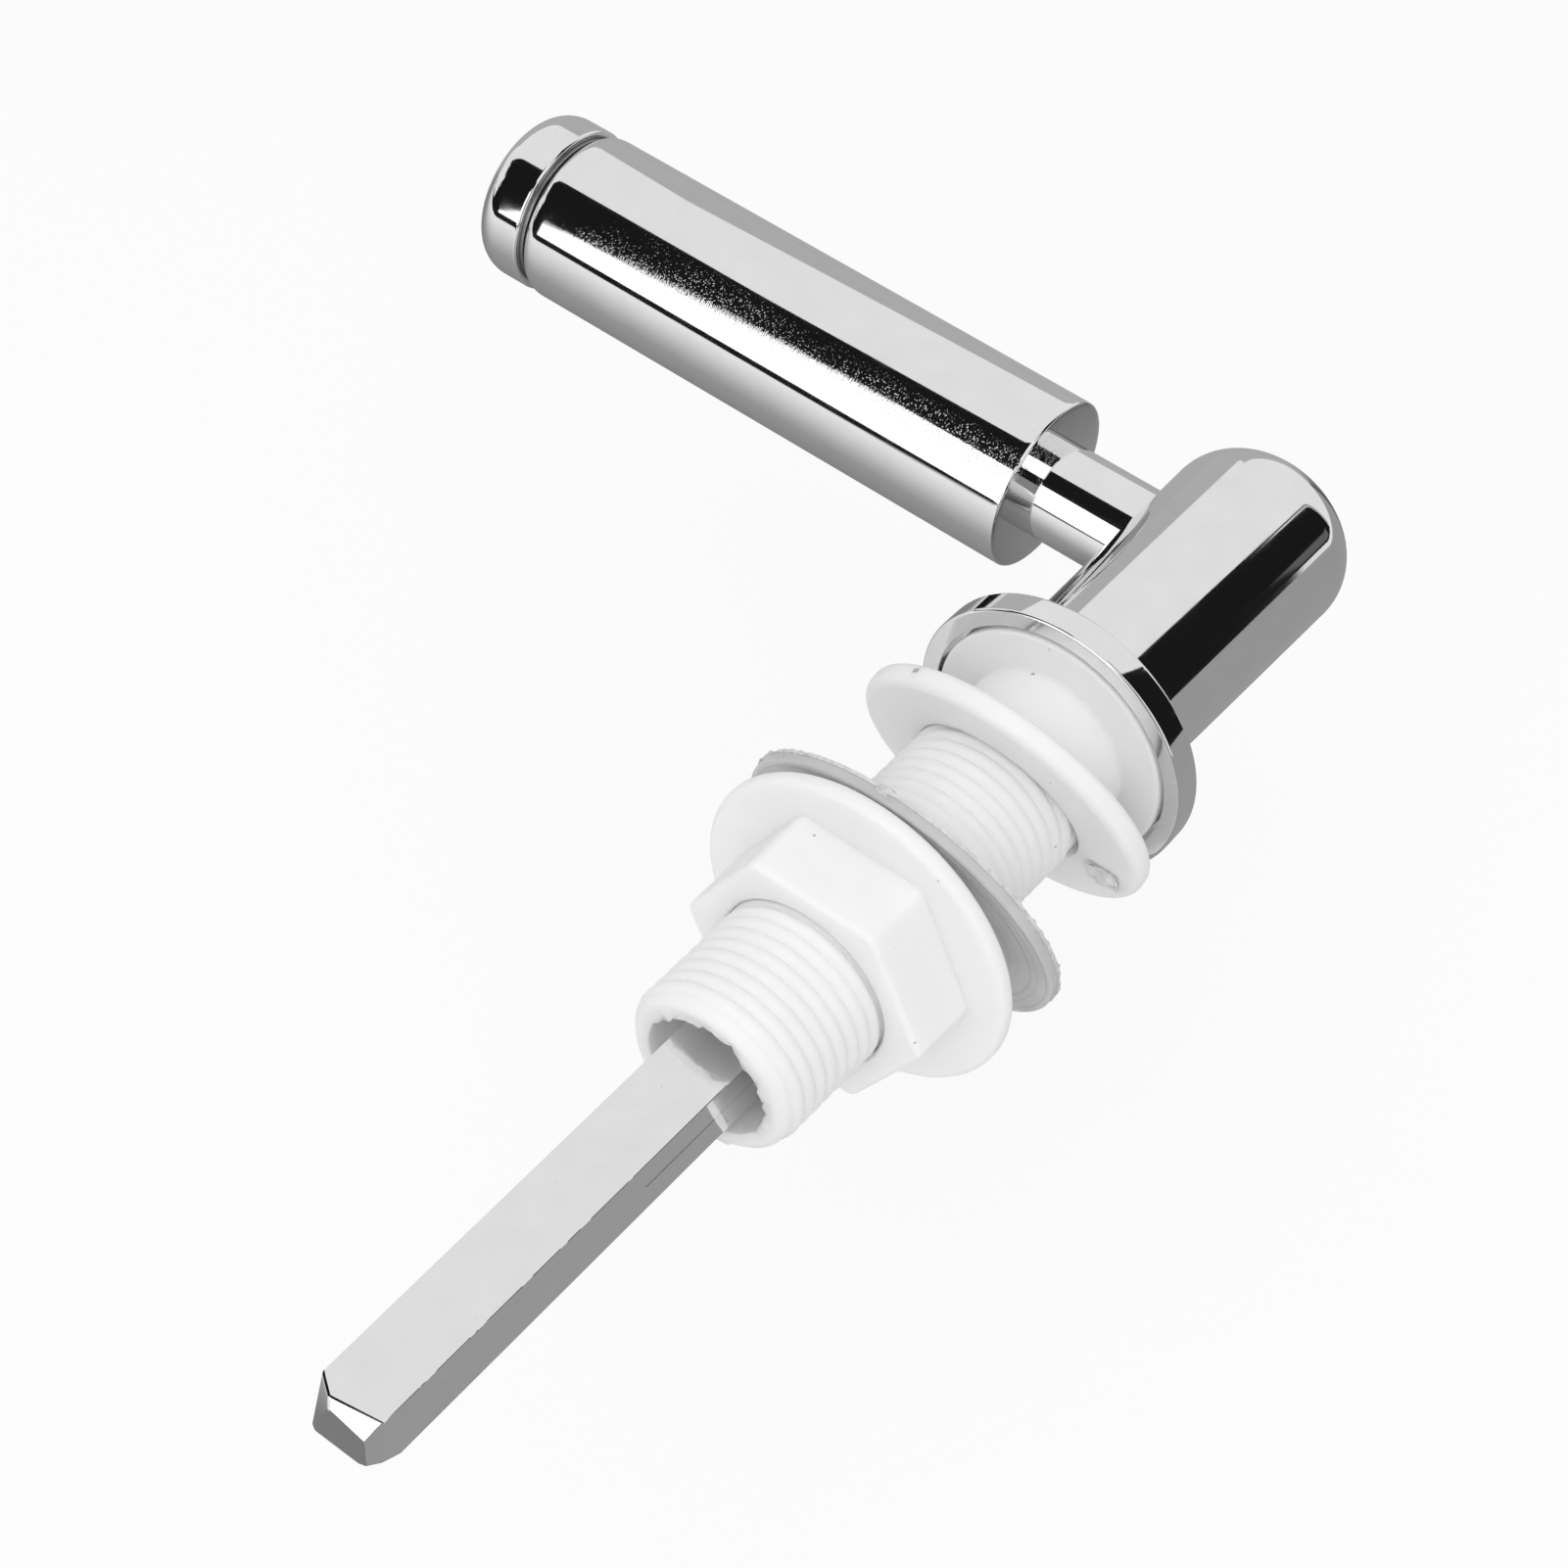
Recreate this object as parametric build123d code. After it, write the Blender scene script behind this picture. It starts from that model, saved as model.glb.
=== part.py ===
from build123d import *
import math
import os

# Cistern lever with a square spindle, a threaded plastic bush, two washers and a flanged back nut.
# Lengths are in millimetres. The spindle axis is Y, pointing into the cistern, and the grip points
# along X. The origin is on the spindle axis, on the face of the bush flange that meets the wall.

# Clearances between the pieces
RUNNING = 0.06
FREE_GAP = 0.3

# Hub and rose, one casting
HUB_LENGTH = 48.2
HUB_ROOT_RADIUS = 11.25
HUB_END_RADIUS = 11.95
HUB_END_ROUND = 6.6
ROSE_RADIUS = 17.5
ROSE_FACE_INSET = 0.7
ROSE_BACK_INSET = 0.3
ROSE_DEPTH = 4.0
ROSE_SET_BACK = 0.3
ROSE_BACK_ROUND = 0.5

# Neck and grip
GRIP_SETBACK = 33.4
NECK_RADIUS = 6.1
NECK_IN_HUB = 8.5
NECK_IN_GRIP = 13.0
GRIP_START = 23.7
GRIP_LENGTH = 73.0
GRIP_RADIUS = 10.96
GRIP_EDGE = 0.35
GRIP_FAR_ROUND = 1.2
GRIP_WALL = 1.8
GRIP_BOSS = 16.0
GROOVE_WIDTH = 0.7
GROOVE_DEPTH = 0.7
CAP_LENGTH = 7.2
CAP_ROUND = 4.2
CAP_SPIGOT = 6.0

# Spindle
SPINDLE_SIDE = 8.2
SPINDLE_REACH = 115.5
SPINDLE_IN_HUB = 21.0
TIP_LENGTH = 2.4
TIP_CUT_GRIP_SIDE = 1.2
TIP_CUT_FAR_SIDE = 0.15
TIP_CUT_TOP = 1.6
TIP_CUT_BOTTOM = 1.3
JOURNAL_REACH = 16.0
JOURNAL_END = 1.0

# Threaded bush
FLANGE_RADIUS = 14.85
FLANGE_THICKNESS = 2.0
FLANGE_EDGE = 0.4
RECESS_CLEARANCE = 0.5
SHANK_RADIUS = 10.1
SHANK_LENGTH = 9.0
THREAD_RADIUS = 10.46
THREAD_PITCH = 1.814
THREAD_DEPTH = 0.74
THREAD_GROOVE = 0.95
THREAD_END = 60.5
THREAD_LEAD = 2.6
TAIL_RADIUS = 8.4
BUSH_BORE_RADIUS = 7.5

# Loose washer that seals against the wall, which stands out past the rose
SEAT_OVERHANG = 1.2
SEAT_THICKNESS = 3.0
SEAT_ROUND = 1.2
SEAT_LEAN_ANGLE = 19.5

# Soft washer under the back nut, which stands out past the nut's flange
CLAMP_OVERHANG = 0.9
CLAMP_THICKNESS = 1.6
CLAMP_ROUND = 0.3
CLAMP_LEAN_ANGLE = 16.5

# Back nut
NUT_FLANGE_RADIUS = 19.7
NUT_FLANGE_THICKNESS = 2.2
NUT_FLANGE_ROUND = 0.9
NUT_FACE = 35.7
NUT_ACROSS_FLATS = 27.0
NUT_HEIGHT = 8.7
NUT_CORNER = 1.0
NUT_EDGE = 0.6


def leaning_hole(lean, thickness):
    """Hole radius that lets a leaning washer pass over the thread."""
    angle = math.radians(lean)
    return THREAD_RADIUS / math.cos(angle) + thickness / 2 * math.tan(angle) + FREE_GAP


def leaning_depth(radius, thickness, edge_round, lean):
    """How far a leaning washer reaches along Y from its centre."""
    angle = math.radians(lean)
    return ((radius - edge_round) * math.sin(angle)
            + (thickness / 2 - edge_round) * math.cos(angle) + edge_round)


# Sizes that follow from those above
ROSE_FACE_RADIUS = ROSE_RADIUS - ROSE_FACE_INSET
ROSE_BACK_RADIUS = ROSE_RADIUS - ROSE_BACK_INSET
RECESS_RADIUS = FLANGE_RADIUS + RECESS_CLEARANCE
RECESS_FLOOR = FLANGE_THICKNESS + FREE_GAP
JOURNAL_RADIUS = BUSH_BORE_RADIUS - RUNNING
SEAT_RADIUS = ROSE_RADIUS + SEAT_OVERHANG
SEAT_HOLE_RADIUS = leaning_hole(SEAT_LEAN_ANGLE, SEAT_THICKNESS)
SEAT_PLACE = leaning_depth(SEAT_RADIUS, SEAT_THICKNESS, SEAT_ROUND, SEAT_LEAN_ANGLE) + FREE_GAP
CLAMP_RADIUS = NUT_FLANGE_RADIUS + CLAMP_OVERHANG
CLAMP_HOLE_RADIUS = leaning_hole(CLAMP_LEAN_ANGLE, CLAMP_THICKNESS)
CLAMP_PLACE = (NUT_FACE - NUT_FLANGE_THICKNESS - FREE_GAP
               - leaning_depth(CLAMP_RADIUS, CLAMP_THICKNESS, CLAMP_ROUND, CLAMP_LEAN_ANGLE))
GRIP_END = GRIP_START + GRIP_LENGTH
CAP_START = GRIP_END + GROOVE_WIDTH
CAP_BORE_RADIUS = GRIP_RADIUS - GRIP_WALL


def rounded(outline, place, radius):
    """Rounds the corner of a flat outline that lies nearest to a place."""
    corner = outline.vertices().sort_by_distance((*place, 0))[0]
    return fillet(corner, radius)


def ring(radius, hole_radius, thickness, edge_round):
    """A flat washer about Y, centred on the origin, with rounded rims."""
    half = thickness / 2
    outline = make_face(Polyline((hole_radius, -half), (radius, -half), (radius, half),
                                 (hole_radius, half), close=True))
    for place in ((radius, -half), (radius, half)):
        outline = rounded(outline, place, edge_round)
    return revolve(outline, Axis.Y)


def leaned(washer, place, lean):
    """A washer set on the spindle axis, with its top leaning towards the tail."""
    return Pos(0, place, 0) * Rot(-lean, 0, 0) * washer


def hub():
    """Hub barrel and rose cup, with the spindle socket and the neck bore."""
    rose_face = -ROSE_SET_BACK
    rose_back = -ROSE_DEPTH
    middle = (rose_face + rose_back) / 2
    side = ThreePointArc((ROSE_FACE_RADIUS, rose_face), (ROSE_RADIUS, middle),
                         (ROSE_BACK_RADIUS, rose_back))
    front = Polyline((ROSE_BACK_RADIUS, rose_back), (HUB_ROOT_RADIUS, rose_back),
                     (HUB_END_RADIUS, -HUB_LENGTH), (0, -HUB_LENGTH), (0, -RECESS_FLOOR),
                     (RECESS_RADIUS, -RECESS_FLOOR), (RECESS_RADIUS, rose_face),
                     (ROSE_FACE_RADIUS, rose_face))
    outline = make_face([side, front])
    outline = rounded(outline, (HUB_END_RADIUS, -HUB_LENGTH), HUB_END_ROUND)
    outline = rounded(outline, (HUB_ROOT_RADIUS, rose_back), ROSE_BACK_ROUND)
    outline = rounded(outline, (ROSE_BACK_RADIUS, rose_back), ROSE_BACK_ROUND)
    body = revolve(outline, Axis.Y)
    socket = Pos(0, -RECESS_FLOOR - SPINDLE_IN_HUB / 2, 0) * Box(
        SPINDLE_SIDE, SPINDLE_IN_HUB, SPINDLE_SIDE)
    bore_start = HUB_ROOT_RADIUS - NECK_IN_HUB
    neck_bore = extrude(Plane(origin=(bore_start, -GRIP_SETBACK, 0), z_dir=(1, 0, 0))
                        * Circle(NECK_RADIUS), HUB_END_RADIUS)
    return body - socket - neck_bore


def rectangle_across(place, across, upright):
    """A flat rectangle across the spindle at a place along it, between two X and two Z values."""
    corners = [(across[0], place, upright[0]), (across[1], place, upright[0]),
               (across[1], place, upright[1]), (across[0], place, upright[1])]
    return make_face(Polyline(*corners, close=True))


def spindle():
    """Square bar with a round journal that turns in the bush, and an unevenly hipped tip."""
    half = SPINDLE_SIDE / 2
    back = -RECESS_FLOOR - SPINDLE_IN_HUB
    square = Plane(origin=(0, back, 0), z_dir=(0, 1, 0)) * Rectangle(SPINDLE_SIDE, SPINDLE_SIDE)
    bar = extrude(square, SPINDLE_REACH - TIP_LENGTH - back)
    shoulder = SPINDLE_REACH - TIP_LENGTH
    tip = loft([rectangle_across(shoulder, (-half, half), (-half, half)),
                rectangle_across(SPINDLE_REACH, (-half + TIP_CUT_FAR_SIDE, half - TIP_CUT_GRIP_SIDE),
                                 (-half + TIP_CUT_BOTTOM, half - TIP_CUT_TOP))])
    outline = make_face(Polyline((0, -RECESS_FLOOR), (JOURNAL_RADIUS, -RECESS_FLOOR),
                                 (JOURNAL_RADIUS, JOURNAL_REACH - JOURNAL_END),
                                 (JOURNAL_RADIUS - JOURNAL_END, JOURNAL_REACH),
                                 (0, JOURNAL_REACH), close=True))
    return bar + tip + revolve(outline, Axis.Y)


def neck():
    """Plain round bar between the hub and the grip."""
    start = HUB_ROOT_RADIUS - NECK_IN_HUB
    return extrude(Plane(origin=(start, -GRIP_SETBACK, 0), z_dir=(1, 0, 0)) * Circle(NECK_RADIUS),
                   GRIP_START + NECK_IN_GRIP - start)


def grip():
    """Hollow barrel with a flat near face, a boss for the neck and an open far end."""
    boss_end = GRIP_START + GRIP_BOSS
    socket_end = GRIP_START + NECK_IN_GRIP
    outline = make_face(Polyline((GRIP_START, NECK_RADIUS), (GRIP_START, GRIP_RADIUS),
                                 (GRIP_END, GRIP_RADIUS), (GRIP_END, CAP_BORE_RADIUS),
                                 (boss_end, CAP_BORE_RADIUS), (boss_end, 0), (socket_end, 0),
                                 (socket_end, NECK_RADIUS), close=True))
    near = outline.vertices().sort_by_distance((GRIP_START, GRIP_RADIUS, 0))[0]
    outline = chamfer(near, GRIP_EDGE)
    outline = rounded(outline, (GRIP_END, GRIP_RADIUS), GRIP_FAR_ROUND)
    return Pos(0, -GRIP_SETBACK, 0) * revolve(outline, Axis.X)


def grip_cap():
    """Rounded end cap with a narrow waist, which leaves the groove, and a spigot in the barrel."""
    cap_end = CAP_START + CAP_LENGTH
    waist = GRIP_RADIUS - GROOVE_DEPTH
    spigot_end = GRIP_END - CAP_SPIGOT
    outline = make_face(Polyline((spigot_end, 0), (spigot_end, CAP_BORE_RADIUS),
                                 (GRIP_END, CAP_BORE_RADIUS), (GRIP_END, waist),
                                 (CAP_START, waist), (CAP_START, GRIP_RADIUS),
                                 (cap_end, GRIP_RADIUS), (cap_end, 0), close=True))
    outline = rounded(outline, (cap_end, GRIP_RADIUS), CAP_ROUND)
    return Pos(0, -GRIP_SETBACK, 0) * revolve(outline, Axis.X)


def thread_grooves():
    """Outline points of the thread's grooves, one to each pitch, without the helix's advance."""
    stop = THREAD_END - THREAD_LEAD
    turns = int((stop - SHANK_LENGTH) / THREAD_PITCH)
    points = []
    for turn in range(turns, 0, -1):
        middle = stop - THREAD_PITCH * (turn - 0.5)
        points += [(THREAD_RADIUS, middle - THREAD_GROOVE / 2),
                   (THREAD_RADIUS - THREAD_DEPTH, middle),
                   (THREAD_RADIUS, middle + THREAD_GROOVE / 2)]
    return points


def bush():
    """Flange, plain shank and threaded tail, bored right through."""
    outline = make_face(Polyline((BUSH_BORE_RADIUS, -FLANGE_THICKNESS),
                                 (FLANGE_RADIUS, -FLANGE_THICKNESS), (FLANGE_RADIUS, 0),
                                 (SHANK_RADIUS, 0), (SHANK_RADIUS, SHANK_LENGTH),
                                 (THREAD_RADIUS, SHANK_LENGTH), *thread_grooves(),
                                 (THREAD_RADIUS, THREAD_END - THREAD_LEAD),
                                 (TAIL_RADIUS, THREAD_END), (BUSH_BORE_RADIUS, THREAD_END),
                                 close=True))
    for place in ((FLANGE_RADIUS, -FLANGE_THICKNESS), (FLANGE_RADIUS, 0)):
        outline = rounded(outline, place, FLANGE_EDGE)
    return revolve(outline, Axis.Y)


def seat_washer():
    """Loose washer, leaning on the flange of the bush."""
    washer = ring(SEAT_RADIUS, SEAT_HOLE_RADIUS, SEAT_THICKNESS, SEAT_ROUND)
    return leaned(washer, SEAT_PLACE, SEAT_LEAN_ANGLE)


def clamp_washer():
    """Soft washer, leaning against the back nut."""
    washer = ring(CLAMP_RADIUS, CLAMP_HOLE_RADIUS, CLAMP_THICKNESS, CLAMP_ROUND)
    return leaned(washer, CLAMP_PLACE, CLAMP_LEAN_ANGLE)


def back_nut():
    """Round flange with a hexagon on its tail side."""
    bore = THREAD_RADIUS + RUNNING
    flange_back = NUT_FACE - NUT_FLANGE_THICKNESS
    outline = make_face(Polyline((bore, flange_back), (NUT_FLANGE_RADIUS, flange_back),
                                 (NUT_FLANGE_RADIUS, NUT_FACE), (bore, NUT_FACE), close=True))
    for place in ((NUT_FLANGE_RADIUS, flange_back), (NUT_FLANGE_RADIUS, NUT_FACE)):
        outline = rounded(outline, place, NUT_FLANGE_ROUND)
    flange = revolve(outline, Axis.Y)
    base = Plane(origin=(0, NUT_FACE, 0), x_dir=(1, 0, 0), z_dir=(0, 1, 0))
    corner_radius = NUT_ACROSS_FLATS / 2 / math.cos(math.radians(30))
    section = RegularPolygon(corner_radius, 6)
    section = fillet(section.vertices(), NUT_CORNER)
    hexagon = extrude(base * section, NUT_HEIGHT)
    top = hexagon.faces().sort_by(Axis.Y)[-1]
    hexagon = fillet(top.edges(), NUT_EDGE)
    hole = extrude(base * Circle(bore), NUT_HEIGHT)
    return flange + (hexagon - hole)


PIECES = {
    "hub": hub,
    "spindle": spindle,
    "neck": neck,
    "grip": grip,
    "grip_cap": grip_cap,
    "bush": bush,
    "seat_washer": seat_washer,
    "clamp_washer": clamp_washer,
    "back_nut": back_nut,
}

os.makedirs("parts", exist_ok=True)
for name, build in PIECES.items():
    export_step(build(), f"parts/{name}.step")
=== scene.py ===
import math

import bmesh
import bpy
from bpy.props import FloatProperty, FloatVectorProperty, IntProperty, PointerProperty
from bpy.types import Operator, Panel, PropertyGroup
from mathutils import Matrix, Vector


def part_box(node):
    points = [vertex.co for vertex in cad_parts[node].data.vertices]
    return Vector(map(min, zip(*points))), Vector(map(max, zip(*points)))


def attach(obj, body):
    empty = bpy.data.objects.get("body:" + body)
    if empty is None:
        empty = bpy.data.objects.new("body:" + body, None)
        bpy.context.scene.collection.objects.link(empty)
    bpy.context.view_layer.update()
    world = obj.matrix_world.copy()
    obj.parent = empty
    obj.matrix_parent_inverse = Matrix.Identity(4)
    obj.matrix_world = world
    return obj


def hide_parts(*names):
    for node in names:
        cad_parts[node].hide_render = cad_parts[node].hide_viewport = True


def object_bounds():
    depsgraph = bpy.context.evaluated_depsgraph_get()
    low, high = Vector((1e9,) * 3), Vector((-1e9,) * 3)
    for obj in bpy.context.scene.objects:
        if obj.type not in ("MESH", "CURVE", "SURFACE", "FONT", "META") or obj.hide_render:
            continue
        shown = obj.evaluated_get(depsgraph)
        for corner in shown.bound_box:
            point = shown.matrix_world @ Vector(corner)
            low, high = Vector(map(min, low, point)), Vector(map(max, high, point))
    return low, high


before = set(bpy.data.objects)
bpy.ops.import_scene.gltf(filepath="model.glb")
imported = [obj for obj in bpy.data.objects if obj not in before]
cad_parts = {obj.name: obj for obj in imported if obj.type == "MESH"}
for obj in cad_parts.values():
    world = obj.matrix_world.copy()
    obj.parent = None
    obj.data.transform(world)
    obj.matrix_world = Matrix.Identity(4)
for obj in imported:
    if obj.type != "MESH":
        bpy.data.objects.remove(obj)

bl_info = {
    "name": "Cistern lever",
    "version": (1, 0, 0),
    "blender": (4, 5, 0),
    "location": "3D View > Sidebar > Cistern lever",
    "description": "Dresses the packed cistern lever: chrome lever, threaded bush, washers and nut",
    "category": "Object",
}

# Lengths are in metres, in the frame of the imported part: the spindle along Y, the grip along X.
MM = 0.001
CAD_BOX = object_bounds()
BOXES = {node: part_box(node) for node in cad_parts}
ORIGIN = (0, 0, 0)
WELD = 1e-6
NEAR = WELD * 5  # a place as close as this to a corner or a face lies on it
ROUND_STEPS = 128  # steps of a turned shape of the bush, washers and nut
ROUNDING_STEP = 0.3 * MM  # a rounding gets a segment for each of these, and five at least

# Each side of the spindle's tip was ground off by hand at its own slope. A hip is a place in it and the way
# that it faces. The place is given across in half sides, back from the end in metres, and up in half sides.
TIP_HIPS = (
    ((0, 0.95 * MM, 1), (-0.17, 0.97, 0.60)),
    ((0.69, 0.36 * MM, 0), (0.72, 1.0, 0.25)),
    ((0, 1.2 * MM, -0.85), (0, 0.58, -1.0)),
    ((-1, 0, -0.44), (-0.5, 0.52, -0.86)),
    ((-1, 1.6 * MM, 0), (-1.0, 0.5, 0)),
)
RAG_CUTS = 110  # cuts along the spindle's ragged edge
THREAD_TURN = -1.9  # radians by which the thread's start is turned round the bush
FLASH_LINE_TURN = math.radians(24.1)  # where on the bush flange its flash line lies, up from X
RING_RADII = (19.3 * MM, 18.1 * MM, 17.2 * MM, 15.6 * MM, 14.4 * MM)  # rings on the soft washer's face
CLEAN_RIM = (-14.0 * MM, 11.0 * MM)  # between these places along X the soft washer's rim has no torn flash

RUBBED = (0.53, 0.64, 0.79, 0.87)  # heights in radii where the grip's wear starts, is full, fades and ends
PLATE_RELIEF = 0.2 * MM  # how deep a full bump goes in the chrome
PLASTIC_RELIEF = 0.1 * MM  # and in the plastic

STAGE_SPAN = 6  # side of the floor and of the table top
SENSOR_WIDTH = 36  # millimetres
LAMPS = (  # name, place, size and watts
    ("key_lamp", (-0.25, 0.55, 0.75), 0.7, 2.9),
    ("top_lamp", (0.05, 0.05, 0.9), 0.9, 1.2),
)
LAMP_AIM = (0.03, 0.03, 0)
# The table's tone in the metal along Y, from its first place to its last: share of the way, grey. These are
# painted light and shade: lighter towards the white box, with a painted shadow of the grip at 0.22.
TABLE_REACH = (-0.1, 0.2)
TABLE_TONES = ((0.0, 0.44), (0.15, 0.42), (0.22, 0.22), (0.287, 0.34), (0.34, 0.57),
               (0.373, 0.67), (0.423, 0.77), (0.523, 0.87), (1.0, 1.0))
# Planes of the cards: before the grip, behind the box, overhead, and beyond the hub
FRONT, BEHIND, ROOF, BACK = 0.30, 0.34, 0.31, -0.333
DARK = 0.01  # glow of a dark gap


def reach(node, axis, side):
    """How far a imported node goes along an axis: side 0 is its lowest place and 1 its highest."""
    return BOXES[node][side][axis]


def centre(node, axis):
    return (reach(node, axis, 0) + reach(node, axis, 1)) / 2


def half_size(node, axis):
    return (reach(node, axis, 1) - reach(node, axis, 0)) / 2


def length(name, text, size):
    return FloatProperty(name=name, description=text, default=size, unit="LENGTH", precision=5)


def angle(name, text, degrees):
    return FloatProperty(name=name, description=text, default=math.radians(degrees), unit="ROTATION")


def colour(name, text, value):
    return FloatVectorProperty(name=name, description=text, default=value, size=4, min=0, max=1,
                               subtype="COLOR")


def amount(name, text, value):
    return FloatProperty(name=name, description=text, default=value, precision=4)


class LeverSizes(PropertyGroup):
    """Sizes of the hub casting, neck, grip and end cap."""
    hub_root_radius: length("Hub root radius", "Radius of the hub barrel next to the rose", 11.25 * MM)
    hub_end_radius: length("Hub end radius", "Radius of the hub barrel at its crowned end", 11.95 * MM)
    hub_end_round: length("Hub end rounding", "Rounding of the crowned end", 6.6 * MM)
    rose_face_round: length("Rose face rounding", "Rounding between the rose's side and its flat ring",
                            0.35 * MM)
    rose_back_round: length("Rose back rounding", "Rounding of the rose on the barrel side", 0.5 * MM)
    rose_back: length("Rose back", "Where the rose ends on the barrel side", -4.0 * MM)
    recess_radius: length("Recess radius", "Radius of the recess that takes the bush flange", 15.35 * MM)
    recess_floor: length("Recess floor", "Where the floor of the recess lies", -2.3 * MM)
    grip_edge: length("Grip edge", "Fine edge of the grip's near face", 0.35 * MM)
    grip_far_round: length("Grip far rounding", "Rounding beside the groove", 1.9 * MM)
    grip_wall: length("Grip wall", "Wall of the hollow barrel", 1.8 * MM)
    grip_boss: length("Grip boss", "Depth of the solid boss that holds the neck", 16.0 * MM)
    cap_start: length("Cap start", "Where the end cap begins behind the groove", 97.2 * MM)
    cap_round: length("Cap rounding", "Rounding of the end cap", 3.6 * MM)
    groove_depth: length("Groove depth", "Depth of the groove between barrel and cap", 0.95 * MM)
    steps: IntProperty(name="Steps", description="Steps of each turned shape", default=128, min=24)


class SpindleSizes(PropertyGroup):
    """Sizes of the square spindle."""
    side: length("Side", "Side of the square", 8.2 * MM)
    edge: length("Edge", "Fine rounding of the long edges", 0.08 * MM)
    tip: length("Tip length", "Length of the hipped tip", 2.3 * MM)
    tip_edge: length("Tip edge", "Rounding of the tip's edges", 0.3 * MM)
    journal_start: length("Journal start", "Where the round journal begins in the hub", -2.29 * MM)
    journal_end: length("Journal end", "Where the round journal ends", 16.0 * MM)
    seam: length("Seam", "Width of the parting line of the casting", 0.12 * MM)
    seam_height: length("Seam height", "How far the parting line stands out", 0.03 * MM)
    seam_end: length("Seam end", "Where the parting line was polished away", 75 * MM)
    edge_rag: length("Edge raggedness", "How uneven the plating is on the near upper edge", 0.025 * MM)


class BushSizes(PropertyGroup):
    """Sizes of the threaded bush."""
    bore: length("Bore radius", "Radius of the bore", 7.5 * MM)
    flange_edge: length("Flange edge", "Rounding of the flange", 0.4 * MM)
    shank_radius: length("Shank radius", "Radius of the plain shank", 10.1 * MM)
    shank_end: length("Shank end", "Where the thread begins", 9.0 * MM)
    crest: length("Crest radius", "Outer radius of the thread", 10.46 * MM)
    root: length("Root radius", "Radius at the bottom of the thread", 10.06 * MM)
    pitch: length("Pitch", "Advance of the thread in one turn", 1.814 * MM)
    tail_radius: length("Tail radius", "Radius of the tail's rim", 9.1 * MM)
    rim_rag: length("Rim raggedness", "How uneven the moulding flash on the bore's rim is", 1.6 * MM)


class WasherSizes(PropertyGroup):
    """Sizes of the loose washer and the soft washer."""
    seat_hole: length("Loose washer hole", "Hole radius of the loose washer", 11.93 * MM)
    seat_thickness: length("Loose washer thickness", "Thickness of the loose washer", 3.0 * MM)
    seat_round: length("Loose washer rounding", "Rounding of its rim", 1.2 * MM)
    seat_lean: angle("Loose washer lean", "How far its top leans to the tail", 19.5)
    clamp_hole: length("Soft washer hole", "Hole radius of the soft washer", 11.45 * MM)
    clamp_thickness: length("Soft washer thickness", "Thickness of the soft washer", 1.6 * MM)
    clamp_lean: angle("Soft washer lean", "How far its top leans to the tail", 16.5)
    flash: length("Flash", "How uneven the soft washer's rim is", 0.26 * MM)
    side_hole: length("Side of the holes", "Half width of both holes across the lean", 10.62 * MM)
    ring_depth: length("Ring depth", "Depth of the fine rings on the soft washer's face", 0.09 * MM)


class NutSizes(PropertyGroup):
    """Sizes of the back nut."""
    flange_thickness: length("Flange thickness", "Thickness of the nut's flange", 2.2 * MM)
    flange_round: length("Flange rounding", "Rounding of the flange", 0.9 * MM)
    across_flats: length("Across flats", "Width of the hexagon over its flats", 27.0 * MM)
    corner: length("Corner", "Rounding of the hexagon's upright corners", 0.8 * MM)
    edge: length("Edge", "Rounding of the hexagon's end edges", 0.7 * MM)
    bore: length("Bore radius", "Radius of the bore, clear of the thread", 10.52 * MM)


class Finishes(PropertyGroup):
    """Colours of the three finishes."""
    chrome: colour("Chrome", "Polished chrome plate", (0.86, 0.86, 0.865, 1))
    plastic: colour("White plastic", "White moulded plastic", (0.90, 0.90, 0.90, 1))
    soft: colour("Soft washer", "Translucent soft plastic", (0.80, 0.80, 0.80, 1))


class StageSettings(PropertyGroup):
    """Camera, floor and studio."""
    camera_place: FloatVectorProperty(name="Camera place", description="Where the camera stands",
                                      default=(-0.130276, 0.244772, 0.305595), subtype="XYZ",
                                      unit="LENGTH", precision=5)
    camera_turn: FloatVectorProperty(name="Camera turn", description="How the camera is turned",
                                     default=(0.7142638, -0.0623644, -2.4774574), subtype="EULER",
                                     unit="ROTATION")
    lens: amount("Lens", "Focal length in millimetres on a 36 mm sensor", 85.05)
    floor_level: length("Floor level", "Height of the floor, below the lever pressed down", -90 * MM)
    floor_colour: colour("Floor", "Plain pale floor", (0.95, 0.95, 0.95, 1))
    floor_deep: colour("Floor in metal", "Tone of the floor and of the table's near side in the chrome",
                       (0.34, 0.34, 0.34, 1))
    floor_lift: amount("Floor lift", "How far the camera sees the floor as plain white", 0.82)
    air: amount("Air", "Grey of the surroundings that light the plastic", 0.65)
    air_in_metal: amount("Air in metal", "Grey of the surroundings as the chrome shows them", 0.85)


def tidy_selection():
    """Leaves edit mode with nothing selected."""
    if bpy.context.object and bpy.context.object.mode != "OBJECT":
        bpy.ops.object.mode_set(mode="OBJECT")
    bpy.ops.object.select_all(action="DESELECT")


def only(piece):
    """Selects one piece alone and makes it the active one."""
    tidy_selection()
    piece.select_set(True)
    bpy.context.view_layer.objects.active = piece


def edit(piece):
    """Opens a piece in edit mode with nothing of it selected."""
    only(piece)
    bpy.ops.object.mode_set(mode="EDIT")
    bpy.ops.mesh.select_all(action="DESELECT")


def added(name):
    """Names the shape that was just added and moves its place, turn and scale into its mesh."""
    piece = bpy.context.object
    piece.name = piece.data.name = name
    bpy.ops.object.transform_apply(location=True, rotation=True, scale=True)
    return piece


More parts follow.
